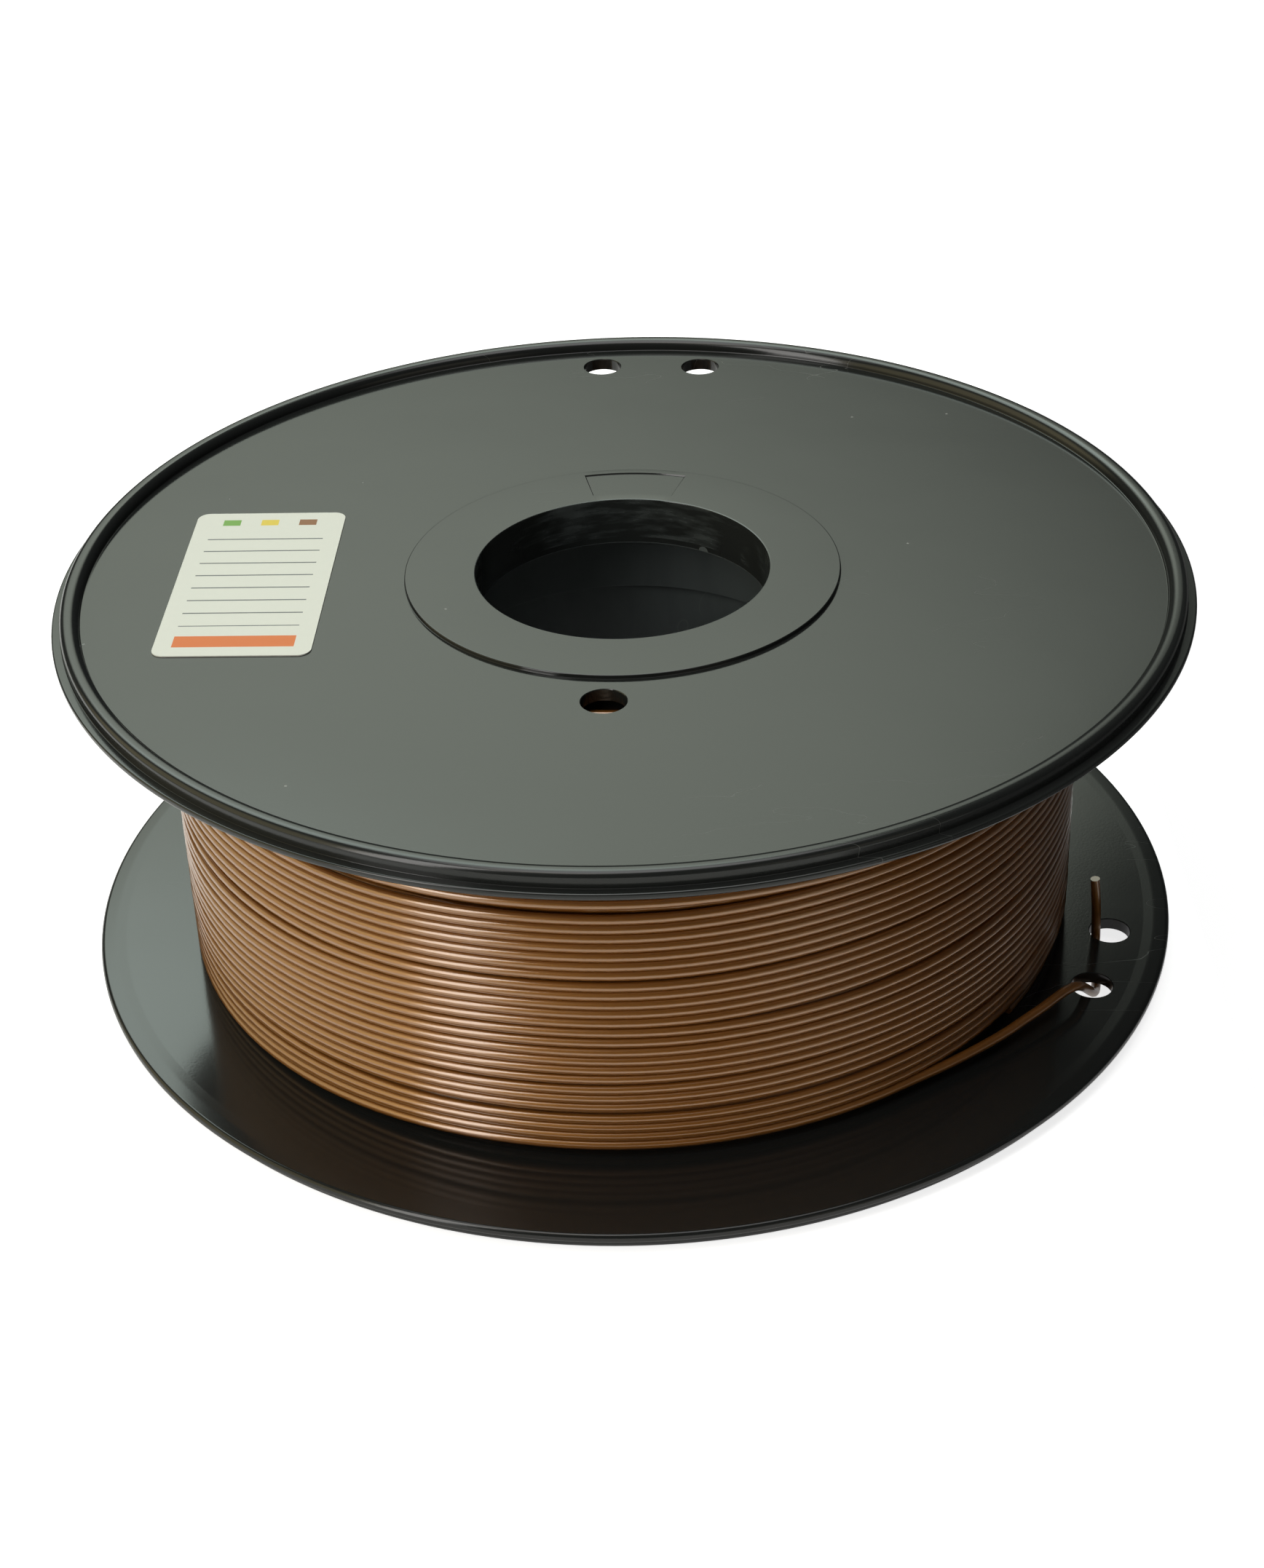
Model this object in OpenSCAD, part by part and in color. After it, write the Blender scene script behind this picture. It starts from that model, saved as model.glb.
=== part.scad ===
// Filament spool, lying on its lower flange with its axis along Z.
// Two identical moulded flanges plug into the ends of a barrel. The barrel is
// wound with round filament, and the free end is laced through two rim holes.

/* [Spool] */
// Overall width along the axis, from foot to foot
width = 73; // [64:1:90]
// Diameter over the lip of a flange
flange_d = 200; // [192:1:216]
// Thickness of a flange's flat plate
plate_t = 2.3; // [2:0.1:4]

/* [Rim] */
// How far the rim bead stands out of the plate
bead_h = 1.9; // [1.9:0.1:4]
// Width of the rim bead
bead_w = 3.3; // [2.6:0.1:6]
// How far the lip stands out past the bead
lip_out = 1.6; // [0.8:0.1:2.4]
// Thickness of the lip
lip_t = 1.4; // [1.2:0.1:1.9]
// Radius of the bead's outer shoulder
bead_outer_round = 0.5; // [0.3:0.1:1]
// Radius of the bead's inner shoulder
bead_inner_round = 1.6; // [0.6:0.1:1.6]

/* [Hub] */
// Diameter of the bore
bore_d = 52; // [40:0.5:58]
// Wall of the collar round the bore
collar_wall = 2.2; // [1.6:0.1:3]
// How far the collar reaches past the plate into the barrel
collar_l = 6; // [4:0.5:10]
// Diameter of the raised boss round the bore
boss_d = 77; // [74:0.5:80]
// Height of the boss above the plate
boss_h = 0.7; // [0.5:0.1:1.5]
// Lead-in chamfer at the bore's mouth
mouth_chamfer = 0.3; // [0.2:0.1:1]

/* [Barrel] */
// Outer diameter of the barrel
barrel_d = 80; // [76:1:90]
// Wall of the barrel
barrel_wall = 2.2; // [1.6:0.1:3]
// Length of the spigot that plugs into the barrel
spigot_l = 20.5; // [12:0.5:24]
// Wall of the spigot
spigot_wall = 1.8; // [1.4:0.1:2.4]
// Radial play between spigot and barrel
spigot_play = 0.15; // [0.1:0.05:0.3]
// Gussets between the collar and the spigot
gussets = 8; // [4:1:12]
// Thickness of a gusset
gusset_t = 1.6; // [1.2:0.1:2.4]

/* [Holes] */
// Diameter of the two holes at the rim
rim_hole_d = 7.4; // [5:0.1:8]
// Distance of the upper flange's rim holes inside the lip
upper_hole_inset = 12.5; // [9.6:0.1:13]
// Distance between the upper flange's rim holes
upper_hole_pitch = 19.8; // [14:0.1:30]
// Distance of the lower flange's rim holes inside the lip
lower_hole_inset = 10.6; // [9.6:0.1:12]
// Distance between the lower flange's rim holes
lower_hole_pitch = 17.4; // [14:0.1:30]
// Diameter of the hole beside the barrel
core_hole_d = 7.7; // [4:0.1:10]
// Plate left between the barrel and the core hole
core_hole_land = 1.7; // [1:0.1:4]

/* [Panel] */
// Width of the sunk panel at its outer edge
panel_outer_w = 19; // [12:0.5:24]
// Width of the sunk panel at its inner edge
panel_inner_w = 15; // [8:0.5:18]
// Plate left between the panel and the edge of the boss
panel_land = 1.4; // [1:0.1:2]
// Plate left between the panel and the bore
panel_bore_land = 2; // [1:0.1:3]
// Depth of the panel
panel_depth = 0.2; // [0.1:0.05:0.4]

/* [Turning of the flanges] */
// Direction of the upper flange's rim holes, degrees
upper_turn = 85.2; // [0:0.1:359]
// Direction of the lower flange's rim holes and of the filament's end, degrees
lower_turn = -19.4; // [-180:0.1:180]

/* [Winding] */
// Diameter of the filament
filament_d = 1.75; // [1.5:0.05:1.9]
// Diameter over the outer layer
wound_d = 163.2; // [120:0.2:164]
// Loops of the outer layer
loops = 24; // [8:1:24]
// Gap between the wound filament and the flanges
side_gap = 0.35; // [0.3:0.05:0.6]
// Climb of the last turn from the lower flange, where the free end leaves it
last_turn_climb = 1.6; // [0:0.1:3]
// Gap between the outer layer and the layers under it
layer_gap = 0.3; // [0.3:0.05:0.6]
// Gap between the inner layers and the barrel
barrel_gap = 0.2; // [0.1:0.05:0.4]

/* [Label] */
// Width of the label
label_w = 27.3; // [15:0.1:30]
// Height of the label
label_h = 52.8; // [30:0.1:60]
// Thickness of the label
label_t = 0.2; // [0.1:0.05:0.3]
// Radius of the label's corners
label_round = 3; // [1:0.5:5]
// Gap between the label and the rim bead
label_inset = 16; // [4:0.2:26]
// Turn of the label about the axis, degrees
label_turn = 180; // [150:1:210]
// Tilt of the label on the face, degrees
label_tilt = -3; // [-10:0.1:10]

/* [Hidden] */
$fn = 96;

cut = 1;
flange_r = flange_d / 2;
bead_r = flange_r - lip_out;
bead_inner_r = bead_r - bead_w;
inner_face_z = bead_h + plate_t;
rim_ease = 0.15;
rim_ease_w = 2.8;
lip_edge_round = 0.3;
lip_face_round = 0.4;
root_fillet = 0.2;
lip_z = inner_face_z - rim_ease;
boss_z = bead_h - boss_h;
boss_round = 0.3;
boss_r = boss_d / 2;
bore_r = bore_d / 2;
collar_r = bore_r + collar_wall;
barrel_r = barrel_d / 2;
barrel_inner_r = barrel_r - barrel_wall;
spigot_r = barrel_inner_r - spigot_play;
spigot_inner_r = spigot_r - spigot_wall;
spigot_chamfer = 0.6;
gusset_h = collar_l - 1;
gusset_bite = 0.3;
space_w = width - 2 * inner_face_z;

core_hole_r = barrel_r + core_hole_land + core_hole_d / 2;
panel_outer_r = boss_r - panel_land;
panel_inner_r = bore_r + panel_bore_land + mouth_chamfer;

filament_r = filament_d / 2;
rings_per_loop = 24;
winding_sides = 6;
tail_sides = 8;
turn_r = wound_d / 2 - filament_r;
first_turn_z = width - inner_face_z - side_gap - filament_r;
last_turn_z = inner_face_z + side_gap + filament_r + last_turn_climb;
loop_pitch = (first_turn_z - last_turn_z) / loops;
core_r = turn_r * cos(180 / rings_per_loop) - filament_r - layer_gap;
core_round = 1.5;

// Points on a circle's arc, from one direction to another.
function arc(centre, r, from, to, steps) =
    [for (i = [0:steps]) let (a = from + (to - from) * i / steps)
        centre + r * [cos(a), sin(a)]];

function unit(v) = v / norm(v);

// Direction of a path at one of its points.
function heading(path, i) =
    unit(path[min(i + 1, len(path) - 1)] - path[max(i - 1, 0)]);

// One ring of points round a path at one of its points.
function ring(path, i, r, sides, side) =
    let (t = heading(path, i), e = unit(cross(t, side)), f = cross(t, e))
    [for (k = [0:sides - 1]) path[i] + r * (cos(360 * k / sides) * e + sin(360 * k / sides) * f)];

// A round tube of triangles along a path; side is never in line with the path.
module tube(path, r, sides, side) {
    last = (len(path) - 1) * sides;
    points = [for (i = [0:len(path) - 1]) each ring(path, i, r, sides, side)];
    walls = [for (i = [0:len(path) - 2], k = [0:sides - 1])
        let (a = i * sides + k, b = i * sides + (k + 1) % sides)
        each [[a, b + sides, b], [a, a + sides, b + sides]]];
    first_cap = [for (k = [1:sides - 2]) [0, k, k + 1]];
    last_cap = [for (k = [1:sides - 2]) [last, last + k + 1, last + k]];
    polyhedron(points, concat(walls, first_cap, last_cap));
}

// Half of the flange's section: radius across, height up from its foot.
flange_profile = concat(
    [[bore_r, boss_z + mouth_chamfer], [bore_r + mouth_chamfer, boss_z]],
    arc([boss_r - boss_round, boss_z + boss_round], boss_round, -90, 0, 3),
    [[boss_r, bead_h]],
    arc([bead_inner_r - root_fillet, bead_h - root_fillet], root_fillet, 90, 0, 3),
    arc([bead_inner_r + bead_inner_round, bead_inner_round], bead_inner_round, 180, 270, 5),
    arc([bead_r - bead_outer_round, bead_outer_round], bead_outer_round, -90, 0, 6),
    [[bead_r, lip_z - lip_t]],
    arc([flange_r - lip_edge_round, lip_z - lip_t + lip_edge_round], lip_edge_round, -90, 0, 2),
    arc([flange_r - lip_face_round, lip_z - lip_face_round], lip_face_round, 0, 90, 3),
    [[flange_r - rim_ease_w, inner_face_z],
     [spigot_r, inner_face_z],
     [spigot_r, inner_face_z + spigot_l - spigot_chamfer],
     [spigot_r - spigot_chamfer, inner_face_z + spigot_l],
     [spigot_inner_r, inner_face_z + spigot_l],
     [spigot_inner_r, inner_face_z],
     [collar_r, inner_face_z],
     [collar_r, inner_face_z + collar_l],
     [bore_r, inner_face_z + collar_l]]
);

// Sunk panel on the boss, wider towards the rim.
module panel() {
    outer_half = asin(panel_outer_w / 2 / panel_outer_r);
    inner_half = asin(panel_inner_w / 2 / panel_inner_r);
    outline = concat(
        arc([0, 0], panel_outer_r, -outer_half, outer_half, 6),
        arc([0, 0], panel_inner_r, inner_half, -inner_half, 6)
    );
    translate([0, 0, boss_z - cut]) linear_extrude(panel_depth + cut) polygon(outline);
}

// Thin upright walls that stiffen the collar against the spigot.
module gusset_walls() {
    reach = spigot_inner_r - collar_r + 2 * gusset_bite;
    for (i = [0:gussets - 1])
        rotate((i + 0.5) * 360 / gussets)
            translate([collar_r - gusset_bite, -gusset_t / 2, inner_face_z - gusset_bite])
                cube([reach, gusset_t, gusset_h + gusset_bite]);
}

// One flange with its foot on z = 0 and its rim holes towards +X.
module flange(hole_inset, hole_pitch) {
    hole_r = flange_r - hole_inset;
    half_turn = asin(hole_pitch / 2 / hole_r);
    difference() {
        union() {
            rotate_extrude() polygon(flange_profile);
            gusset_walls();
        }
        for (side = [-1, 1])
            rotate(side * half_turn)
                translate([hole_r, 0, bead_h - cut])
                    cylinder(h = plate_t + 2 * cut, d = rim_hole_d);
        translate([-core_hole_r, 0, bead_h - cut])
            cylinder(h = plate_t + 2 * cut, d = core_hole_d);
        panel();
    }
}

module lower_flange() {
    color([0.07, 0.075, 0.075])
        rotate(lower_turn) flange(lower_hole_inset, lower_hole_pitch);
}

module upper_flange() {
    color([0.07, 0.075, 0.075])
        translate([0, 0, width]) rotate(upper_turn) rotate([180, 0, 0])
            flange(upper_hole_inset, upper_hole_pitch);
}

// Plain tube between the two plates, chamfered inside at both ends.
module barrel() {
    profile = [
        [barrel_inner_r + spigot_chamfer, 0], [barrel_r, 0],
        [barrel_r, space_w], [barrel_inner_r + spigot_chamfer, space_w],
        [barrel_inner_r, space_w - spigot_chamfer], [barrel_inner_r, spigot_chamfer]
    ];
    color([0.09, 0.095, 0.1])
        translate([0, 0, inner_face_z]) rotate_extrude() polygon(profile);
}

// The layers under the outer one, as one plain ring round the barrel.
module filament_inner_layers() {
    low = inner_face_z + side_gap;
    high = width - inner_face_z - side_gap;
    inner = barrel_r + barrel_gap;
    profile = concat(
        [[inner, low]],
        arc([core_r - core_round, low + core_round], core_round, -90, 0, 4),
        arc([core_r - core_round, high - core_round], core_round, 0, 90, 4),
        [[inner, high]]
    );
    color([0.36, 0.23, 0.13]) rotate_extrude() polygon(profile);
}

// Centre line of the outer layer: it winds down, and both ends run straight
// along the tangent. Directions count from the lower flange's rim holes.
leave_turn = -37.5;
leave_way = [-sin(leave_turn), cos(leave_turn), 0];
function turn_point(i) =
    let (back = loops - i / rings_per_loop, a = leave_turn - 360 * back)
    [turn_r * cos(a), turn_r * sin(a), last_turn_z + loop_pitch * back];
winding_rings = loops * rings_per_loop;
winding_path = concat(
    [turn_point(0) - filament_d * leave_way],
    [for (i = [0:winding_rings]) turn_point(i)],
    [turn_point(winding_rings) + filament_d * leave_way]
);
winding_end = winding_path[len(winding_path) - 1];

// Least gap between the outer layer and itself, measured ring to ring.
least_gap = min([for (i = [0:winding_rings], j = [i + rings_per_loop / 2:i + 2 * rings_per_loop])
    if (j < len(winding_path)) norm(winding_path[i] - winding_path[j])]) - filament_d;
echo(least_gap_of_outer_layer = least_gap);

module filament_outer_layer() {
    color([0.55, 0.35, 0.2])
        rotate(lower_turn) tube(winding_path, filament_r, winding_sides, [0, 0, 1]);
}

// The free end: straight to the first rim hole of the lower flange, down
// through it, along under the plate, and up through the second one.
tail_route = [
    [70.4, -41.3, 7.1], [75, -35.1, 7.3], [77.8, -31, 7.5], [80.4, -26.7, 7.8],
    [82.7, -22.8, 8.05], [84.5, -19.3, 8.2], [85.9, -16.5, 8.1], [87.1, -14.4, 7.6],
    [87.8, -12.9, 6.6], [88.3, -11.6, 5.4], [88.7, -10.4, 4.2], [89, -9.1, 3],
    [89.2, -7.7, 1.9], [89.2, -6.2, 1.2], [89.1, -4.7, 0.96], [88.8, -2.8, 0.95],
    [88.4, -0.5, 0.95], [87.9, 1.8, 0.95], [87.4, 3.9, 0.95], [87.1, 5.2, 0.96],
    [86.9, 6.4, 1.17], [86.7, 7.45, 1.78], [86.6, 8.23, 2.71], [86.5, 8.65, 3.9],
    [86.4, 8.8, 5.6], [86.3, 8.85, 7.9], [86.1, 8.85, 10.4], [85.9, 8.8, 12.8],
    [85.7, 8.75, 15]
];
tail_side = [1, -1, 0];

module filament_tail() {
    color([0.45, 0.29, 0.17])
        rotate(lower_turn)
            tube(concat([winding_end], tail_route), filament_r, tail_sides, tail_side);
}

// Paper label with round corners on the upper flange's face.
module label() {
    centre_r = bead_inner_r - label_inset - label_w / 2;
    inner = [label_w / 2 - label_round, label_h / 2 - label_round];
    color([0.9, 0.91, 0.87])
        translate([0, 0, width - bead_h])
            rotate(label_turn) translate([centre_r, 0, 0]) rotate(label_tilt)
                linear_extrude(label_t) union() {
                    square([label_w, 2 * inner[1]], center = true);
                    square([2 * inner[0], label_h], center = true);
                    for (x = [-inner[0], inner[0]], y = [-inner[1], inner[1]])
                        translate([x, y]) circle(r = label_round);
                }
}

lower_flange();
upper_flange();
barrel();
filament_inner_layers();
filament_outer_layer();
filament_tail();
label();
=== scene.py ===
import math
import random

import bmesh
import bpy
from mathutils import Matrix, Vector


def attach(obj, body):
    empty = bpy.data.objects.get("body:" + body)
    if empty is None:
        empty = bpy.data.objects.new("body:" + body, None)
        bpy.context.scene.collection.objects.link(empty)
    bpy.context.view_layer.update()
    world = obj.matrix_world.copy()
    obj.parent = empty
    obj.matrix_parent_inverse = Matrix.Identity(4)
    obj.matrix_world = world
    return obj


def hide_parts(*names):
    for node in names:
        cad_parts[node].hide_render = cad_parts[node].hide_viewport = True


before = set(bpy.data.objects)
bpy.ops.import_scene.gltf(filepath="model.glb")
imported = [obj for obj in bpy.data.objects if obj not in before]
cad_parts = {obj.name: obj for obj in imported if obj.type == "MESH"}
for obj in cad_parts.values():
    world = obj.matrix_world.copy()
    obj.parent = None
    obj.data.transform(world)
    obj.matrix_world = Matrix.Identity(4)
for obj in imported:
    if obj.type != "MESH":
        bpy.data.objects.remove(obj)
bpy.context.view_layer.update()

MM = 0.001


# Camera. It stands in front of the spool, looks down on it at about 32 degrees,
# and is rolled two degrees. Its sensor's width is the frame's width.
SENSOR_WIDTH = 36
LENS = 80.083
CAMERA_PLACE = (0, -0.44001, 0.30553)
CAMERA_PITCH = 0.56589
CAMERA_YAW = -0.00083
CAMERA_ROLL = -0.03504

camera_data = bpy.data.cameras.new("camera")
camera_data.sensor_fit = "HORIZONTAL"
camera_data.sensor_width = SENSOR_WIDTH
camera_data.lens = LENS
camera_data.clip_start = 0.01
camera = bpy.data.objects.new("camera", camera_data)
camera.matrix_world = (
    Matrix.Translation(CAMERA_PLACE)
    @ Matrix.Rotation(CAMERA_YAW, 4, "Z")
    @ Matrix.Rotation(math.pi / 2 - CAMERA_PITCH, 4, "X")
    @ Matrix.Rotation(CAMERA_ROLL, 4, "Z")
)
bpy.context.scene.collection.objects.link(camera)
bpy.context.scene.camera = camera


# Free end of the filament: drawn plastic, stiff enough to keep the bends it was
# given. It leaves the winding along its tangent, goes down through a rim hole of
# the lower flange, along under the plate, and up through the next hole.
FILAMENT_D = 1.75 * MM
FILAMENT_R = FILAMENT_D / 2
WOUND_R = 81.6 * MM
TURN_R = WOUND_R - FILAMENT_R
LAST_TURN_Z = 7.025 * MM
LOWER_TURN = math.radians(-19.4)
LEAVE_TURN = math.radians(-37.5)
TAIL_ROUTE = [
    (70.4, -41.3, 7.1), (75, -35.1, 7.3), (77.8, -31, 7.5), (80.4, -26.7, 7.8),
    (82.7, -22.8, 8.05), (84.5, -19.3, 8.2), (85.9, -16.5, 8.1), (87.1, -14.4, 7.6),
    (87.8, -12.9, 6.6), (88.3, -11.6, 5.4), (88.7, -10.4, 4.2), (89, -9.1, 3),
    (89.2, -7.7, 1.9), (89.2, -6.2, 1.2), (89.1, -4.7, 0.96), (88.8, -2.8, 0.95),
    (88.4, -0.5, 0.95), (87.9, 1.8, 0.95), (87.4, 3.9, 0.95), (87.1, 5.2, 0.96),
    (86.9, 6.4, 1.17), (86.7, 7.45, 1.78), (86.6, 8.23, 2.71), (86.5, 8.65, 3.9),
    (86.4, 8.8, 5.6), (86.3, 8.85, 7.9), (86.1, 8.85, 10.4), (85.9, 8.8, 12.8),
    (85.7, 8.75, 15),
]


class Signal:
    """One output of a material's nodes. Arithmetic on it adds Math nodes."""

    def __init__(self, tree, socket=None):
        self.tree = tree
        self.socket = socket

    @staticmethod
    def pick(sockets, key):
        """A socket by its number, or the one in use by that name."""
        if isinstance(key, int):
            return sockets[key]
        return next(s for s in sockets if s.name == key and s.enabled)

    def node(self, kind, settings, sockets, output=0):
        """Add a node with these settings and inputs, and take one of its outputs."""
        made = self.tree.nodes.new(kind)
        for name, setting in settings.items():
            setattr(made, name, setting)
        for key, value in sockets.items():
            self.join(self.pick(made.inputs, key), value)
        return Signal(self.tree, self.pick(made.outputs, output))

    def join(self, socket, value):
        """Give a socket a link or a plain value."""
        if isinstance(value, Signal):
            self.tree.links.new(value.socket, socket)
        else:
            socket.default_value = value

    def maths(self, operation, first, second):
        return self.node("ShaderNodeMath", {"operation": operation}, {0: first, 1: second})

    def __add__(self, other):
        return self.maths("ADD", self, other)

    def __radd__(self, other):
        return self.maths("ADD", other, self)

    def __sub__(self, other):
        return self.maths("SUBTRACT", self, other)

    def __rsub__(self, other):
        return self.maths("SUBTRACT", other, self)

    def __mul__(self, other):
        return self.maths("MULTIPLY", self, other)

    def __rmul__(self, other):
        return self.maths("MULTIPLY", other, self)

    def __lt__(self, other):
        return self.maths("LESS_THAN", self, other)

    def __gt__(self, other):
        return self.maths("GREATER_THAN", self, other)

    def __abs__(self):
        return self.maths("ABSOLUTE", self, 0.0)

    def mixed(self, first, second):
        """This value's way from one colour to another."""
        return self.node(
            "ShaderNodeMix", {"data_type": "RGBA"}, {"Factor": self, "A": first, "B": second}, "Result"
        )

    def noise(self, scale, detail=2.0, stretch=(1, 1, 1)):
        """Noise of this scale per metre, in the object's own coordinates."""
        place = self.node("ShaderNodeMapping", {}, {"Vector": self.place(), "Scale": stretch})
        return self.node("ShaderNodeTexNoise", {}, {"Vector": place, "Scale": scale, "Detail": detail})

    def place(self):
        """The point on the object, in metres."""
        return self.node("ShaderNodeTexCoord", {}, {}, "Object")


def new_material(name, constants):
    """A material with its shader's constants set: the material, its shader, a blank signal."""
    material = bpy.data.materials.new(name)
    material.use_nodes = True
    shader = material.node_tree.nodes["Principled BSDF"]
    for socket, value in constants.items():
        shader.inputs[socket].default_value = value
    return material, shader, Signal(material.node_tree)


FILAMENT_LIGHT = (0.24, 0.09, 0.016, 1)
FILAMENT_DARK = (0.155, 0.054, 0.008, 1)
filament_plastic, shader, blank = new_material("filament_plastic", {
    "IOR": 2.3, "Specular Tint": (1, 0.5, 0.14, 1),
    "Coat Weight": 0.95, "Coat IOR": 1.95, "Coat Roughness": 0.15,
})
streaks = blank.noise(60, 3.0, (1, 1, 14))
cloud = blank.noise(38, 3.0)
grain = blank.noise(2600, 2.0)
shade = (cloud * 0.6 + streaks * 0.4).mixed(FILAMENT_DARK, FILAMENT_LIGHT)
blank.join(shader.inputs["Base Color"], shade)
blank.join(shader.inputs["Roughness"], 0.36 + streaks * 0.1)
blank.join(
    shader.inputs["Normal"],
    blank.node("ShaderNodeBump", {}, {"Strength": 0.25, "Distance": 0.00004, "Height": grain}),
)


def filament_run(name, points, node, fineness, kind="POLY"):
    """A piece of the filament through these points, in metres, in place of a node."""
    line = bpy.data.curves.new(name, "CURVE")
    line.dimensions = "3D"
    line.twist_mode = "Z_UP" if kind == "POLY" else "MINIMUM"
    line.bevel_depth = FILAMENT_R
    line.bevel_resolution = fineness
    line.resolution_u = 6
    line.use_fill_caps = True
    spline = line.splines.new(kind)
    if kind == "BEZIER":
        spline.bezier_points.add(len(points) - 1)
        for knot, point in zip(spline.bezier_points, points):
            knot.co = point
            knot.handle_left_type = "AUTO"
            knot.handle_right_type = "AUTO"
    else:
        spline.points.add(len(points) - 1)
        for knot, point in zip(spline.points, points):
            knot.co = (*point, 1)
    drawn = bpy.data.objects.new("drawn", line)
    mesh = bpy.data.meshes.new_from_object(drawn.evaluated_get(bpy.context.evaluated_depsgraph_get()))
    bpy.data.objects.remove(drawn)
    mesh.materials.clear()
    mesh.materials.append(filament_plastic)
    run = bpy.data.objects.new(name, mesh)
    bpy.context.scene.collection.objects.link(run)
    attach(run, "root")
    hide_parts(node)
    return run


leave_point = Vector((math.cos(LEAVE_TURN), math.sin(LEAVE_TURN), 0)) * TURN_R
leave_point.z = LAST_TURN_Z
leave_way = Vector((-math.sin(LEAVE_TURN), math.cos(LEAVE_TURN), 0))
lower_turned = Matrix.Rotation(LOWER_TURN, 4, "Z")
winding_end = lower_turned @ (leave_point + leave_way * FILAMENT_D)
tail_points = [winding_end] + [lower_turned @ (Vector(p) * MM) for p in TAIL_ROUTE]
tail = filament_run("filament_free_end", tail_points, "filament_tail", 3, "BEZIER")


# Outer layer of the winding: the same filament, wound side by side from the upper
# flange down to the lower one. The turns aren't quite even, so thin gaps open and
# close between them. The last turn lies on the flange, then climbs to its free end.
TURNS = 32
STEPS = 120
FIRST_TURN_Z = 67.575 * MM
LYING_Z = 5.1 * MM
LYING_FROM = 0.45
LYING_TO = 0.72
CLIMBED_AT = 0.88
OFF_CENTRE = 0.55 * MM
CENTRED_OVER = 0.06
WANDER = 0.1 * MM
BASE_GAP = 0.05 * MM
GAP_COUNT = 60
WIDE_GAP_COUNT = 14

chance = random.Random(11)
openings = [
    (chance.uniform(0.3, TURNS - 0.6), chance.uniform(0.05, 0.15), chance.uniform(0.1, 0.6) * MM)
    for _ in range(GAP_COUNT)
]
openings += [
    (chance.uniform(0.8, TURNS - 1.3), chance.uniform(0.12, 0.28), chance.uniform(0.6, 1.0) * MM)
    for _ in range(WIDE_GAP_COUNT)
]
waves = [(chance.uniform(0.31, 2.3), chance.uniform(0, math.tau)) for _ in range(5)]


def raw_gap(turn):
    """Gap under the winding at this many turns from its start, before it is evened out."""
    gap = BASE_GAP
    for centre, reach, width in openings:
        off = abs(turn - centre) / reach
        if off < 1:
            gap += width * math.cos(off * math.pi / 2) ** 2
    return gap


def eased(value, low, high):
    """A smooth step from 0 at the low value to 1 at the high one."""
    part = min(1, max(0, (value - low) / (high - low)))
    return part * part * (3 - 2 * part)


def wander(turn):
    """A slow wave between -1 and 1 that is nil at both ends of the winding."""
    ends = min(1, turn, TURNS - turn)
    return ends * sum(math.sin(rate * turn * math.tau + start) for rate, start in waves) / len(waves)


free_width = FIRST_TURN_Z - LAST_TURN_Z - TURNS * FILAMENT_D
even_share = free_width / sum(raw_gap(turn) for turn in range(TURNS))
first_drop = FILAMENT_D + raw_gap(0) * even_share
last_drop = FILAMENT_D + raw_gap(TURNS - 1) * even_share

heights = [LAST_TURN_Z] * (TURNS * STEPS + 1)
for step in range(STEPS):
    part = step / STEPS
    height = FIRST_TURN_Z - first_drop * part
    lowest = LYING_Z + (LAST_TURN_Z - LYING_Z) * eased(part, LYING_TO, CLIMBED_AT)
    lowest += (LAST_TURN_Z + last_drop - LYING_Z) * (1 - eased(part, 0, LYING_FROM))
    gaps = [raw_gap(turn + part) for turn in range(TURNS - 1)]
    share = (height - lowest - (TURNS - 1) * FILAMENT_D) / sum(gaps)
    for turn in range(TURNS):
        heights[turn * STEPS + step] = height
        if turn < TURNS - 1:
            height -= FILAMENT_D + gaps[turn] * share

end_direction = LOWER_TURN + LEAVE_TURN
winding_points = []
for i, height in enumerate(heights):
    turn = i / STEPS
    direction = end_direction + math.tau * turn
    off_centre = OFF_CENTRE * (1 - eased(turn, TURNS - CENTRED_OVER, TURNS))
    reach = TURN_R + WANDER * wander(turn) - off_centre * math.cos(direction)
    winding_points.append(Vector((reach * math.cos(direction), reach * math.sin(direction), height)))
winding_points.append(winding_end)
filament_run("filament_outer_turns", winding_points, "filament_outer_layer", 2)


# Layers under the outer one: more of the same filament. Seen are the turns just
# under the outer ones, through its gaps, and the layers' ends against the flanges,
# through the holes beside the barrel; the rest is one plain ring.
BARREL_R = 40 * MM
SPACE_LOW = 4.2 * MM
SPACE_HIGH = 68.8 * MM
UNDER_R = TURN_R - 1.55 * MM
LAYER_PITCH = 1.58 * MM
BARREL_GAP = 0.2 * MM
SUNK_ENDS = 1.2 * MM
SUNK_FROM = 48 * MM
SUNK_TO = 54 * MM
LAP_STEPS = 72
RUN_ON_STEPS = 8

# The last lap of these turns runs on along the flange, past the ends' outermost lap.
under_points = []
for i in range(TURNS * LAP_STEPS + RUN_ON_STEPS):
    direction = -math.tau * i / LAP_STEPS
    height = max(LYING_Z, FIRST_TURN_Z - (FIRST_TURN_Z - LYING_Z) * i / (TURNS * LAP_STEPS))
    under_points.append((UNDER_R * math.cos(direction), UNDER_R * math.sin(direction), height))
filament_run("filament_under_turns", under_points, "filament_inner_layers", 1)

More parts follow.
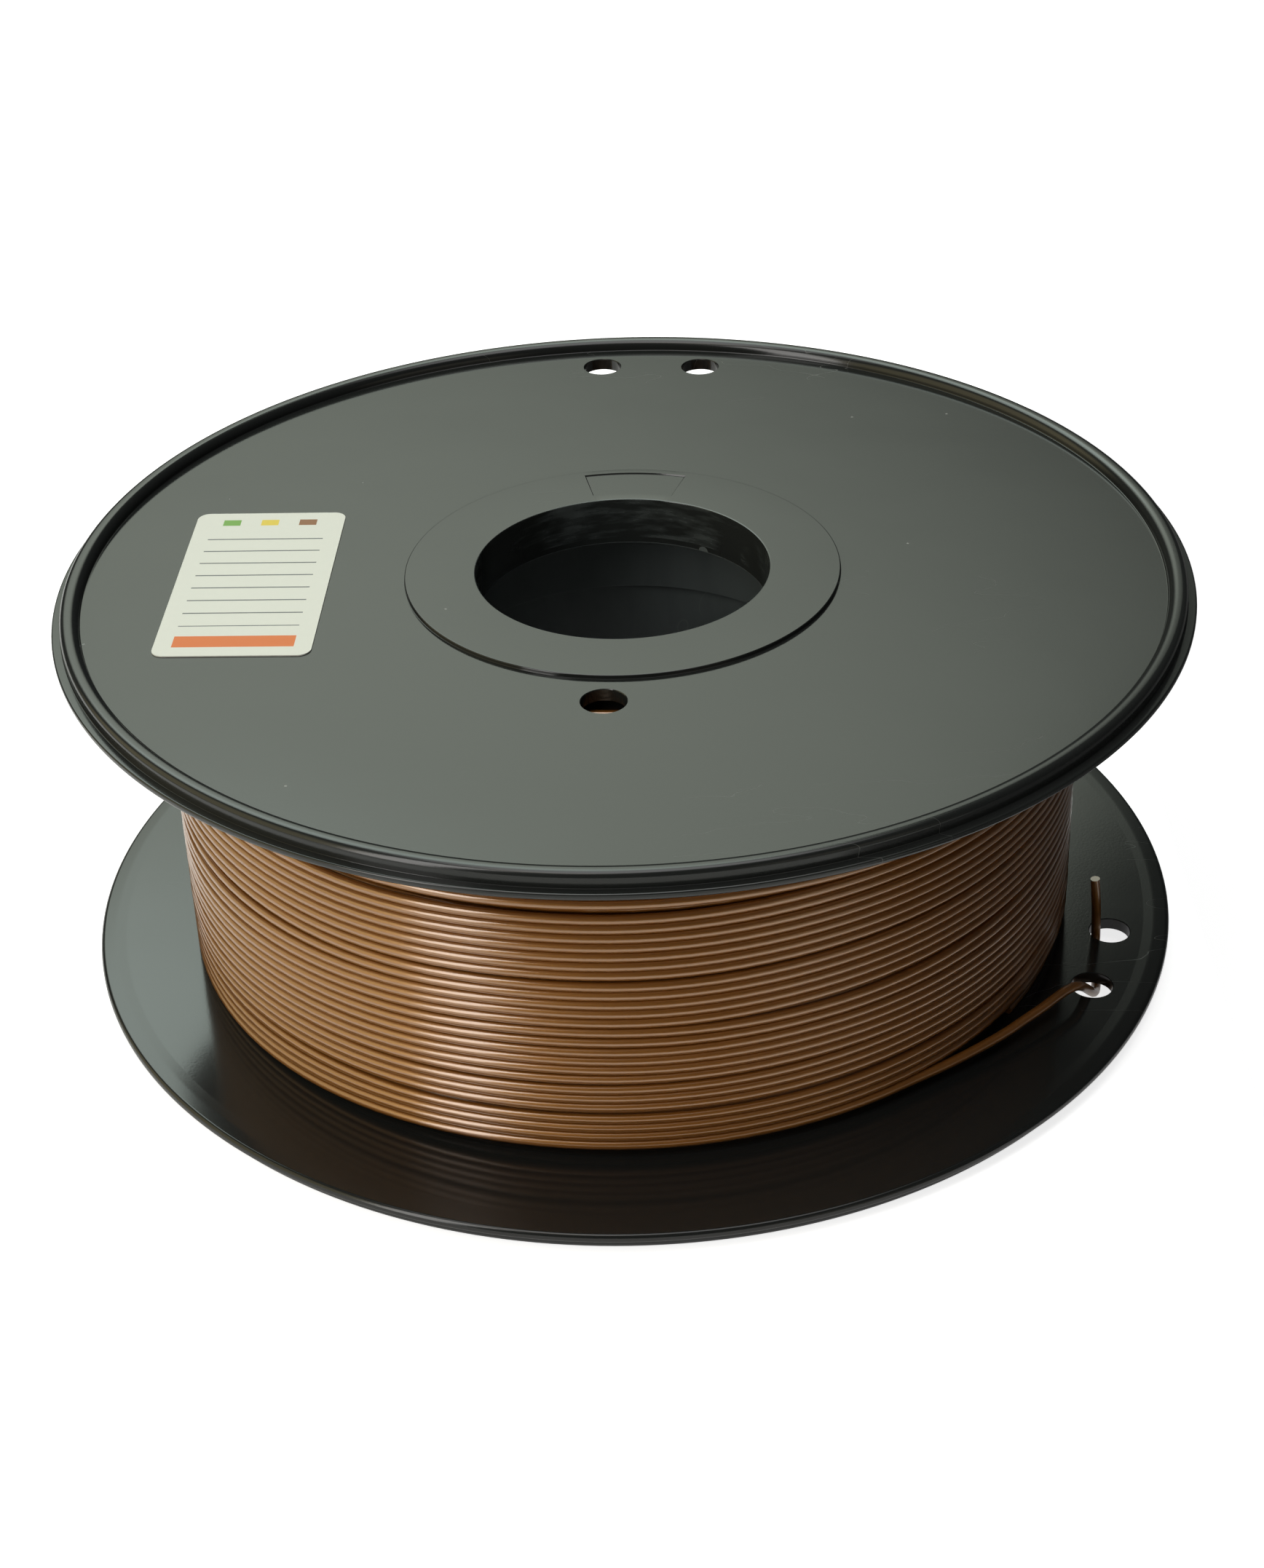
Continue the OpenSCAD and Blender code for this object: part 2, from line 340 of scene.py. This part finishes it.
# Near the barrel the upper ends are sunk a little, so they show darker in the hole.
inner_reach = BARREL_R + FILAMENT_R + BARREL_GAP
laps = (UNDER_R - inner_reach - FILAMENT_D) / LAYER_PITCH
for name, height, sunk in (
    ("filament_low_ends", LYING_Z, 0), ("filament_high_ends", FIRST_TURN_Z, SUNK_ENDS),
):
    end_points = []
    for i in range(int(laps * LAP_STEPS)):
        direction = math.tau * i / LAP_STEPS
        reach = inner_reach + LAYER_PITCH * i / LAP_STEPS
        drop = sunk * (1 - eased(reach, SUNK_FROM, SUNK_TO))
        end_points.append((reach * math.cos(direction), reach * math.sin(direction), height - drop))
    filament_run(name, end_points, "filament_inner_layers", 1)


def spun(corners, steps=240):
    """A closed ring about Z from the corners (radius, height) of its section."""
    bm = bmesh.new()
    section = [bm.verts.new((radius, 0, height)) for radius, height in corners]
    edges = [bm.edges.new((section[i - 1], section[i])) for i in range(len(section))]
    bmesh.ops.spin(
        bm, geom=section + edges, cent=(0, 0, 0), axis=(0, 0, 1), angle=math.tau,
        steps=steps, use_merge=True,
    )
    bmesh.ops.recalc_face_normals(bm, faces=bm.faces)
    return bm


def round_corner(bm, radius, height, size, segments):
    """Bevel the ring of edges that one corner of the section was spun into."""
    near = 0.01 * MM

    def on_ring(vert):
        return abs(vert.co.z - height) < near and abs(vert.co.xy.length - radius) < near

    ring = [edge for edge in bm.edges if all(on_ring(v) for v in edge.verts)]
    bmesh.ops.bevel(
        bm, geom=ring, offset=size, affect="EDGES", segments=segments, profile=0.5, material=-1
    )


def finished(name, bm, material, nodes=()):
    """Make the bmesh a piece of the spool: smooth, with its flat faces kept flat."""
    mesh = bpy.data.meshes.new(name)
    bm.to_mesh(mesh)
    bm.free()
    mesh.shade_smooth()
    mesh.set_sharp_from_angle(angle=math.radians(35))
    mesh.materials.append(material)
    piece = bpy.data.objects.new(name, mesh)
    bpy.context.scene.collection.objects.link(piece)
    flat = piece.modifiers.new("flat_faces", "WEIGHTED_NORMAL")
    flat.keep_sharp = True
    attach(piece, "root")
    if nodes:
        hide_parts(*nodes)
    return piece


PACK_UNDER = 0.9 * MM
PACK_EASE = 0.5 * MM
pack_inner = BARREL_R + BARREL_GAP
pack_outer = UNDER_R - PACK_UNDER
pack_low = LYING_Z + PACK_EASE
pack_high = FIRST_TURN_Z - PACK_EASE
pack = spun([
    (pack_inner, pack_low), (pack_outer, pack_low), (pack_outer, pack_high), (SUNK_TO, pack_high),
    (SUNK_FROM, pack_high - SUNK_ENDS), (pack_inner, pack_high - SUNK_ENDS),
], 96)
finished("filament_deep_layers", pack, filament_plastic, ["filament_inner_layers"])


# Barrel: a black moulded tube between the two flanges' plates. The spigots of the
# flanges plug into its ends; it is chamfered inside to let them in. The flanges are
# of the same glossy plastic, specked with dust. Inside the bore the upper collar has
# grey scuffs and a nub, and a pale band at its end edge that is partly flash and partly
# a painted highlight. The rest of the collars and the bore's inner walls are lightened
# grey as painted light.
BARREL_WALL = 2.2 * MM
SPIGOT_CHAMFER = 0.6 * MM
BLACK = (0.0145, 0.0158, 0.0152, 1)
# Grey of the real scuffs in the bore, also used as painted light on the bore's walls.
SCUFF_AND_PAINTED_LIGHT_GREY = (0.08, 0.094, 0.093, 1)
DUST = (0.22, 0.22, 0.21, 1)
BORE_EDGE_R = 26.25 * MM
CHAMBER_R = 38 * MM
CHAMBER_HALF = 33 * MM
MID_Z = 36.5 * MM
SCUFFED_ABOVE = 64 * MM
FLASH_HIGHLIGHT_Z = 62.85 * MM
FLASH_HIGHLIGHT_HALF = 0.14 * MM
NUB = (15.1 * MM, 21.2 * MM, 62.9 * MM)
NUB_R = 1 * MM
RIM_WORN_R = 95.3 * MM
SPECK_SCALE = 150.0

black_plastic, shader, blank = new_material("black_plastic", {"IOR": 1.5})
ripple = blank.noise(26, 2.0)
grain = blank.noise(2200, 2.0)
blotch = blank.noise(14, 3.0)
speckled = {"Vector": blank.place(), "Scale": SPECK_SCALE, "Randomness": 1.0}
cells = blank.node("ShaderNodeTexVoronoi", {}, speckled, "Distance")
chosen = blank.node("ShaderNodeTexVoronoi", {}, speckled, "Color")
specks = (cells < 0.035) * (chosen > 0.72)

axis_way = blank.node("ShaderNodeMapping", {}, {"Vector": blank.place(), "Scale": (1, 1, 0)})
from_axis = blank.node("ShaderNodeVectorMath", {"operation": "LENGTH"}, {0: axis_way}, "Value")
height = blank.node("ShaderNodeSeparateXYZ", {}, {0: blank.place()}, "Z")
nub_ends = {0: blank.place(), 1: NUB}
nub_way = blank.node("ShaderNodeVectorMath", {"operation": "DISTANCE"}, nub_ends, "Value")
drawn = 0.55 + blank.noise(160, 4.0, (1, 1, 0.25)) * 0.9
scratching = blank.noise(700, 5.0, (0.22, 0.22, 1)) + blank.noise(60, 2.0)
scuffs = blank.node(
    "ShaderNodeMapRange", {}, {"Value": scratching, "From Min": 1.0, "From Max": 1.4},
) * (height > SCUFFED_ABOVE)
# Pale band at the upper collar's end edge: partly flash, partly a painted highlight along that edge.
flash_and_painted_highlight = abs(height - FLASH_HIGHLIGHT_Z) < FLASH_HIGHLIGHT_HALF
# The faint grey over all of the collars (0.06) is painted light; the scuffs and the nub are real marks.
marks_and_painted_light = 0.06 + scuffs * 0.8 + flash_and_painted_highlight * 2.0 + (nub_way < NUB_R) * 2.2
collar = (from_axis < BORE_EDGE_R) * marks_and_painted_light * drawn
inside_barrel = abs(height - MID_Z) < CHAMBER_HALF
# Painted light: the walls deep inside the bore are lightened grey to stand in for light falling into
# it.
painted_bore_light = (from_axis < CHAMBER_R) * (from_axis > BORE_EDGE_R) * inside_barrel * drawn
scuffed_and_painted_light = collar + painted_bore_light
rim = from_axis > RIM_WORN_R
swirl = blank.noise(30, 2.0, (1, 3.2, 1))
hairlines = (abs(swirl - 0.5) < 0.0011) * (blotch > 0.57)
plastic = scuffed_and_painted_light.mixed(BLACK, SCUFF_AND_PAINTED_LIGHT_GREY)
worn = specks * 0.3 + scuffed_and_painted_light * 0.4 + rim * 0.05 + hairlines * 0.15
blank.join(shader.inputs["Base Color"], (specks + hairlines * 0.2).mixed(plastic, DUST))
blank.join(shader.inputs["Roughness"], 0.09 + blotch * 0.06 + worn)
fine_bump = blank.node("ShaderNodeBump", {}, {"Strength": 0.12, "Distance": 0.00003, "Height": grain})
wide_bump = {"Strength": 0.1, "Distance": 0.0006, "Height": ripple, "Normal": fine_bump}
blank.join(shader.inputs["Normal"], blank.node("ShaderNodeBump", {}, wide_bump))

barrel_inner_r = BARREL_R - BARREL_WALL
barrel = spun([
    (barrel_inner_r, SPACE_LOW), (BARREL_R, SPACE_LOW),
    (BARREL_R, SPACE_HIGH), (barrel_inner_r, SPACE_HIGH),
])
for height in (SPACE_LOW, SPACE_HIGH):
    round_corner(barrel, barrel_inner_r, height, SPIGOT_CHAMFER, 1)
finished("barrel_tube", barrel, black_plastic, ["barrel"])


# Flanges: the same black glossy moulding at both ends, the upper one turned over.
# Each is a flat plate with a rounded bead and a thin lip at the rim, a low boss
# with a sunk panel, a collar round the bore and a spigot that plugs into the barrel.
WIDTH = 73 * MM
BEAD_H = 1.9 * MM
INNER_FACE_Z = 4.2 * MM
FLANGE_R = 100 * MM
BEAD_R = 98.4 * MM
BEAD_INNER_R = 95.1 * MM
BORE_R = 26 * MM
BOSS_R = 38.5 * MM
BOSS_Z = 1.2 * MM
RIM_EASE_Z = 4.05 * MM
RIM_EASE_R = 97.2 * MM
SPIGOT_R = 37.65 * MM
SPIGOT_INNER_R = 35.85 * MM
SPIGOT_END = 24.7 * MM
COLLAR_R = 28.2 * MM
COLLAR_END = 10.2 * MM
LIP_Z = 2.65 * MM
UPPER_TURN = math.radians(85.2)

# Corners of the section from the bore outwards and back: radius, height, size of
# the rounding and its number of segments.
FLANGE_SECTION = [
    (BORE_R, BOSS_Z, 0.3 * MM, 2),
    (BOSS_R, BOSS_Z, 0.2 * MM, 3),
    (BOSS_R, BEAD_H, 0.1 * MM, 2),
    (BEAD_INNER_R, BEAD_H, 0.2 * MM, 3),
    (BEAD_INNER_R, 0, 1.6 * MM, 8),
    (BEAD_R, 0, 1.1 * MM, 7),
    (BEAD_R, LIP_Z, 0.15 * MM, 2),
    (FLANGE_R, LIP_Z, 0.3 * MM, 3),
    (FLANGE_R, RIM_EASE_Z, 0.8 * MM, 6),
    (RIM_EASE_R, INNER_FACE_Z, 0.3 * MM, 2),
    (SPIGOT_R, INNER_FACE_Z, 0, 0),
    (SPIGOT_R, SPIGOT_END, 0.6 * MM, 1),
    (SPIGOT_INNER_R, SPIGOT_END, 0.2 * MM, 2),
    (SPIGOT_INNER_R, INNER_FACE_Z, 0.4 * MM, 3),
    (COLLAR_R, INNER_FACE_Z, 0.4 * MM, 3),
    (COLLAR_R, COLLAR_END, 0.2 * MM, 2),
    (BORE_R, COLLAR_END, 0.1 * MM, 1),
]
flange = spun([(radius, height) for radius, height, _, _ in FLANGE_SECTION])
for radius, height, size, segments in FLANGE_SECTION:
    if segments:
        round_corner(flange, radius, height, size, segments)


def mesh_object(name, bm):
    """A plain object to cut with or to be cut; it isn't a piece of the spool."""
    mesh = bpy.data.meshes.new(name)
    bm.to_mesh(mesh)
    bm.free()
    made = bpy.data.objects.new(name, mesh)
    bpy.context.scene.collection.objects.link(made)
    return made


def combine(body, other, operation):
    """Cut the other solid from the body, or join it on, and take it away."""
    step = body.modifiers.new("combine", "BOOLEAN")
    step.operation = operation
    step.solver = "EXACT"
    step.object = other
    whole = body.evaluated_get(bpy.context.evaluated_depsgraph_get())
    old = body.data
    body.data = bpy.data.meshes.new_from_object(whole)
    body.modifiers.clear()
    bpy.data.meshes.remove(old)
    bpy.data.objects.remove(other)


GUSSETS = 8
GUSSET_T = 1.6 * MM
GUSSET_BITE = 0.3 * MM
GUSSET_TOP = COLLAR_END - 1 * MM
blank_flange = mesh_object("blank_flange", flange)
gussets = bmesh.new()
gusset_reach = SPIGOT_INNER_R - COLLAR_R + 2 * GUSSET_BITE
gusset_size = (gusset_reach, GUSSET_T, GUSSET_TOP - INNER_FACE_Z + GUSSET_BITE)
gusset_mid_z = (GUSSET_TOP + INNER_FACE_Z - GUSSET_BITE) / 2
gusset_centre = Vector(((SPIGOT_INNER_R + COLLAR_R) / 2, 0, gusset_mid_z))
for i in range(GUSSETS):
    place = Matrix.Rotation(math.tau * (i + 0.5) / GUSSETS, 4, "Z") @ Matrix.Translation(gusset_centre)
    bmesh.ops.create_cube(gussets, size=1, matrix=place @ Matrix.Diagonal((*gusset_size, 1)))
combine(blank_flange, mesh_object("gussets", gussets), "UNION")

HOLE_FLARE = 0.12 * MM


def hole_cutter(radius, place_r, direction):
    """A pin as long as the plate is thick, flared at both faces to break the hole's edges."""
    over = 1 * MM
    bm = spun([
        (1e-7, BEAD_H - over), (radius + HOLE_FLARE + over, BEAD_H - over),
        (radius, BEAD_H + HOLE_FLARE), (radius, INNER_FACE_Z - HOLE_FLARE),
        (radius + HOLE_FLARE + over, INNER_FACE_Z + over), (1e-7, INNER_FACE_Z + over),
    ], 48)
    bmesh.ops.remove_doubles(bm, verts=bm.verts, dist=1e-6)
    bmesh.ops.recalc_face_normals(bm, faces=bm.faces)
    bmesh.ops.translate(bm, verts=bm.verts, vec=(place_r, 0, 0))
    bmesh.ops.rotate(bm, verts=bm.verts, matrix=Matrix.Rotation(direction, 3, "Z"))
    return mesh_object("cutter", bm)


RIM_HOLE_R = 3.7 * MM
CORE_HOLE_R = 3.85 * MM
CORE_HOLE_PLACE_R = 45.55 * MM
combine(blank_flange, hole_cutter(CORE_HOLE_R, CORE_HOLE_PLACE_R, math.pi), "DIFFERENCE")

PANEL_INNER_R = 28.3 * MM
PANEL_OUTER_R = 37.1 * MM
PANEL_HALF_TURN = math.radians(15)
PANEL_DEPTH = 0.2 * MM
PANEL_OVER = 0.1 * MM
PANEL_SLOPE = 0.25 * MM
panel = bmesh.new()
panel_ends = [
    panel.verts.new((radius, 0, BOSS_Z - PANEL_OVER)) for radius in (PANEL_INNER_R, PANEL_OUTER_R)
]
panel_edge = panel.edges.new(panel_ends)
bmesh.ops.rotate(panel, verts=panel_ends, matrix=Matrix.Rotation(-PANEL_HALF_TURN, 3, "Z"))
bmesh.ops.spin(
    panel, geom=[*panel_ends, panel_edge], cent=(0, 0, 0), axis=(0, 0, 1),
    angle=2 * PANEL_HALF_TURN, steps=16,
)
raised = bmesh.ops.extrude_face_region(panel, geom=list(panel.faces))
lifted = [v for v in raised["geom"] if isinstance(v, bmesh.types.BMVert)]
bmesh.ops.translate(panel, verts=lifted, vec=(0, 0, PANEL_DEPTH + PANEL_OVER))
for vert in lifted:
    direction = math.atan2(vert.co.y, vert.co.x) * (1 - PANEL_SLOPE / (PANEL_INNER_R * PANEL_HALF_TURN))
    inward = PANEL_SLOPE if vert.co.xy.length < (PANEL_INNER_R + PANEL_OUTER_R) / 2 else -PANEL_SLOPE
    reach = vert.co.xy.length + inward
    vert.co.x = reach * math.cos(direction)
    vert.co.y = reach * math.sin(direction)
bmesh.ops.recalc_face_normals(panel, faces=panel.faces)
combine(blank_flange, mesh_object("panel_cutter", panel), "DIFFERENCE")

lower_place = Matrix.Rotation(LOWER_TURN, 4, "Z")
upper_place = (
    Matrix.Translation((0, 0, WIDTH))
    @ Matrix.Rotation(UPPER_TURN, 4, "Z")
    @ Matrix.Rotation(math.pi, 4, "X")
)
for name, place, hole_place_r, hole_pitch in (
    ("lower_flange", lower_place, 89.4 * MM, 17.4 * MM),
    ("upper_flange", upper_place, 87.5 * MM, 19.8 * MM),
):
    drilled = mesh_object("drilled", bmesh.new())
    drilled.data = blank_flange.data.copy()
    half_turn = math.asin(hole_pitch / 2 / hole_place_r)
    combine(drilled, hole_cutter(RIM_HOLE_R, hole_place_r, half_turn), "DIFFERENCE")
    combine(drilled, hole_cutter(RIM_HOLE_R, hole_place_r, -half_turn), "DIFFERENCE")
    shape = bmesh.new()
    shape.from_mesh(drilled.data)
    bpy.data.objects.remove(drilled)
    bmesh.ops.transform(shape, matrix=place, verts=shape.verts)
    finished(name + "_moulding", shape, black_plastic, [name])
bpy.data.objects.remove(blank_flange)


# Label: a die-cut sticker of coated paper with round corners, pressed onto the
# upper flange's face. It is printed with a coloured band, rules and swatches.
LABEL_SIZE = (27.3 * MM, 52.8 * MM)
LABEL_T = 0.2 * MM
LABEL_ROUND = 2.2 * MM
LABEL_CENTRE = (-65.45 * MM, 0)
LABEL_TILT = math.radians(-3)
FACE_Z = WIDTH - BEAD_H

label = bmesh.new()
bmesh.ops.create_grid(label, x_segments=1, y_segments=1, size=0.5)
bmesh.ops.scale(label, verts=label.verts, vec=(*LABEL_SIZE, 1))
bmesh.ops.bevel(
    label, geom=list(label.verts), offset=LABEL_ROUND, affect="VERTICES", segments=10,
    profile=0.5, material=-1,
)
thick = bmesh.ops.extrude_face_region(label, geom=list(label.faces))
top = [v for v in thick["geom"] if isinstance(v, bmesh.types.BMVert)]
bmesh.ops.translate(label, verts=top, vec=(0, 0, LABEL_T))
bmesh.ops.recalc_face_normals(label, faces=label.faces)
label_turned = Matrix.Rotation(math.pi + LABEL_TILT, 4, "Z")
label_place = Matrix.Translation((*LABEL_CENTRE, FACE_Z)) @ label_turned
bmesh.ops.transform(label, matrix=label_place, verts=label.verts)

LABEL_PAPER = (0.775, 0.78, 0.705, 1)
LABEL_FIBRE = (0.70, 0.72, 0.67, 1)
RULE_GREY = (0.16, 0.17, 0.17, 1)
BAND_ORANGE = (0.75, 0.2, 0.05, 1)
PRINT_HALF_WIDTH = 10.5 * MM
BAND_Y = -21.5 * MM
BAND_HALF = 1.9 * MM
RULE_PITCH = 4.6 * MM
RULES_Y = 2 * MM
RULES_HALF = 18.2 * MM
SWATCH_Y = 22.6 * MM
SWATCH_HALF = (1.6 * MM, 1.1 * MM)
SWATCHES = [
    (-7 * MM, (0.2, 0.42, 0.08, 1)),
    (0, (0.8, 0.62, 0.08, 1)),
    (7 * MM, (0.3, 0.14, 0.06, 1)),
]
label_paper, shader, blank = new_material("label_paper", {"IOR": 1.45})
fibre = blank.noise(900, 3.0)
on_label = blank.node(
    "ShaderNodeMapping", {"vector_type": "TEXTURE"},
    {"Vector": blank.place(), "Location": (*LABEL_CENTRE, 0), "Rotation": (0, 0, LABEL_TILT)},
)
across = blank.node("ShaderNodeSeparateXYZ", {}, {0: on_label}, "X")
along = blank.node("ShaderNodeSeparateXYZ", {}, {0: on_label}, "Y")


def inked(centre_x, centre_y, half_x, half_y):
    """1 inside this rectangle of the label and 0 outside it."""
    return (abs(across - centre_x) < half_x) * (abs(along - centre_y) < half_y)


between_rules = blank.maths("FRACT", along * (1 / RULE_PITCH), 0.0)
ruled = (abs(between_rules - 0.5) < 0.04) * inked(0, RULES_Y, PRINT_HALF_WIDTH, RULES_HALF)
printed = ruled.mixed((fibre * 0.3).mixed(LABEL_PAPER, LABEL_FIBRE), RULE_GREY)
printed = inked(0, BAND_Y, PRINT_HALF_WIDTH, BAND_HALF).mixed(printed, BAND_ORANGE)
for swatch_x, ink in SWATCHES:
    printed = inked(swatch_x, SWATCH_Y, *SWATCH_HALF).mixed(printed, ink)
blank.join(shader.inputs["Base Color"], printed)
blank.join(shader.inputs["Roughness"], 0.5 + fibre * 0.1)
finished("label_sticker", label, label_paper, ["label"])


# Floor and light: the spool stands on a pale board, with a matt sheet in front of it
# and a dark floor around. Soft glows overhead, behind and at the left light it, with
# one tall lamp at the front left. None of them is part of the spool.
FLOOR_SIZE = (8, 8)
BOARD_SIZE = (0.765, 1.0)
BOARD_LEFT = 0.66
BOARD_FRONT = 0.18
SHEET_SIZE = (1.2, 1.0)
SHEET_X = -0.3
BOARD_DROP = 0.0002

floor_centre = (0, 0, -BOARD_DROP * 2)
board_centre = (BOARD_SIZE[0] / 2 - BOARD_LEFT, BOARD_SIZE[1] / 2 - BOARD_FRONT, -BOARD_DROP)
sheet_centre = (SHEET_X, -SHEET_SIZE[1] / 2 - BOARD_FRONT, -BOARD_DROP)


def paved(name, size, centre, colour, shown, mirrored):
    """A flat staged sheet: its grey, and how white the camera and a gloss see it."""
    bm = bmesh.new()
    bmesh.ops.create_grid(bm, x_segments=1, y_segments=1, size=0.5)
    bmesh.ops.scale(bm, verts=bm.verts, vec=(*size, 1))
    bmesh.ops.translate(bm, verts=bm.verts, vec=centre)
    sheet = mesh_object(name, bm)
    paint = bpy.data.materials.new(name + "_paint")
    paint.use_nodes = True
    paint.node_tree.nodes.clear()
    blank = Signal(paint.node_tree)
    seen = blank.node("ShaderNodeLightPath", {}, {}, "Is Camera Ray")
    glossed = blank.node("ShaderNodeLightPath", {}, {}, "Is Glossy Ray")
    passed = blank.node("ShaderNodeLightPath", {}, {}, "Is Transmission Ray")
    matt = blank.node("ShaderNodeBsdfDiffuse", {}, {"Color": (colour, colour, colour, 1)})
    strength = seen * shown + (glossed + passed) * mirrored
    glow = blank.node("ShaderNodeEmission", {}, {"Color": (1, 1, 1, 1), "Strength": strength})
    both = blank.node("ShaderNodeAddShader", {}, {0: matt, 1: glow})
    blank.join(paint.node_tree.nodes.new("ShaderNodeOutputMaterial").inputs["Surface"], both)
    sheet.data.materials.append(paint)


paved("floor", FLOOR_SIZE, floor_centre, 0.06, 0.97, 0.05)
paved("board", BOARD_SIZE, board_centre, 0.8, 0.78, 0.35)
paved("front_sheet", SHEET_SIZE, sheet_centre, 0.75, 0.97, 0.05)

ROOM_LEVEL = (0.022, 0.023, 0.024, 1)
# Soft glows of the room: azimuth (0 behind the spool, 90 at its left) and
# elevation, the angles where the glow is full and where it ends, and its level.
GLOWS = [
    (0, 90, 8, 28, (2.5, 2.5, 2.5, 1)),
    (10.4, 46.7, 9, 32, (1.8, 1.98, 1.7, 1)),
    (18, 50, 14, 20, (1.3, 1.6, 1.6, 1)),
    (94, 12, 24, 44, (0.92, 0.8, 0.45, 1)),
    (218, 8, 8, 24, (0.25, 0.23, 0.18, 1)),
    (147, 68, 5, 13, (1.5, 1.4, 1.25, 1)),
]
# A dark curtain at the right: azimuth, elevation, and where it is full and ends.
CURTAIN = (-25, 40, 11.6, 14.4)

world = bpy.data.worlds.new("room")
bpy.context.scene.world = world
world.use_nodes = True
blank = Signal(world.node_tree)
way = blank.node("ShaderNodeTexCoord", {}, {}, "Generated")


def towards(azimuth, elevation):
    """The way to a place around the spool; azimuth 0 is behind it, 90 to its left."""
    turn = math.radians(azimuth)
    lift = math.radians(elevation)
    return Vector((-math.sin(turn) * math.cos(lift), math.cos(turn) * math.cos(lift), math.sin(lift)))


def patch(azimuth, elevation, full, end):
    """How much of a round patch of the room's sky this way of looking meets."""
    ways = {0: way, 1: towards(azimuth, elevation)}
    near = blank.node("ShaderNodeVectorMath", {"operation": "DOT_PRODUCT"}, ways, "Value")
    edge = math.cos(math.radians(end))
    heart = math.cos(math.radians(full))
    return blank.node(
        "ShaderNodeMapRange", {"interpolation_type": "SMOOTHSTEP"},
        {"Value": near, "From Min": edge, "From Max": heart},
    )


light = ROOM_LEVEL
for azimuth, elevation, full, end, level in GLOWS:
    light = blank.node(
        "ShaderNodeMix", {"data_type": "RGBA", "blend_type": "ADD"},
        {"Factor": patch(azimuth, elevation, full, end), "A": light, "B": level}, "Result",
    )
light = patch(*CURTAIN).mixed(light, ROOM_LEVEL)
seen = blank.node("ShaderNodeLightPath", {}, {}, "Is Camera Ray")
blank.join(world.node_tree.nodes["Background"].inputs["Color"], seen.mixed(light, (1, 1, 1, 1)))

# The tall lamp, aimed at the middle of the spool.
LAMP_AIM = Vector((0, 0, 0.05))
LAMP_DISTANCE = 1.5
LAMP_WIDTH = 0.44
LAMP_HEIGHT = 1.7
LAMP_LEVEL = 4.55

lamp_light = bpy.data.lights.new("lamp", "AREA")
lamp_light.shape = "RECTANGLE"
lamp_light.size = LAMP_WIDTH
lamp_light.size_y = LAMP_HEIGHT
lamp_light.energy = LAMP_LEVEL * math.pi * LAMP_WIDTH * LAMP_HEIGHT
lamp_light.color = (1.0, 0.98, 0.95)
lamp = bpy.data.objects.new("lamp", lamp_light)
lamp_way = towards(136.8, 26)
lamp.location = LAMP_AIM + lamp_way * LAMP_DISTANCE
lamp.rotation_euler = lamp_way.to_track_quat("Z", "Y").to_euler()
lamp.visible_camera = False
bpy.context.scene.collection.objects.link(lamp)

bpy.context.scene.view_settings.view_transform = "Standard"
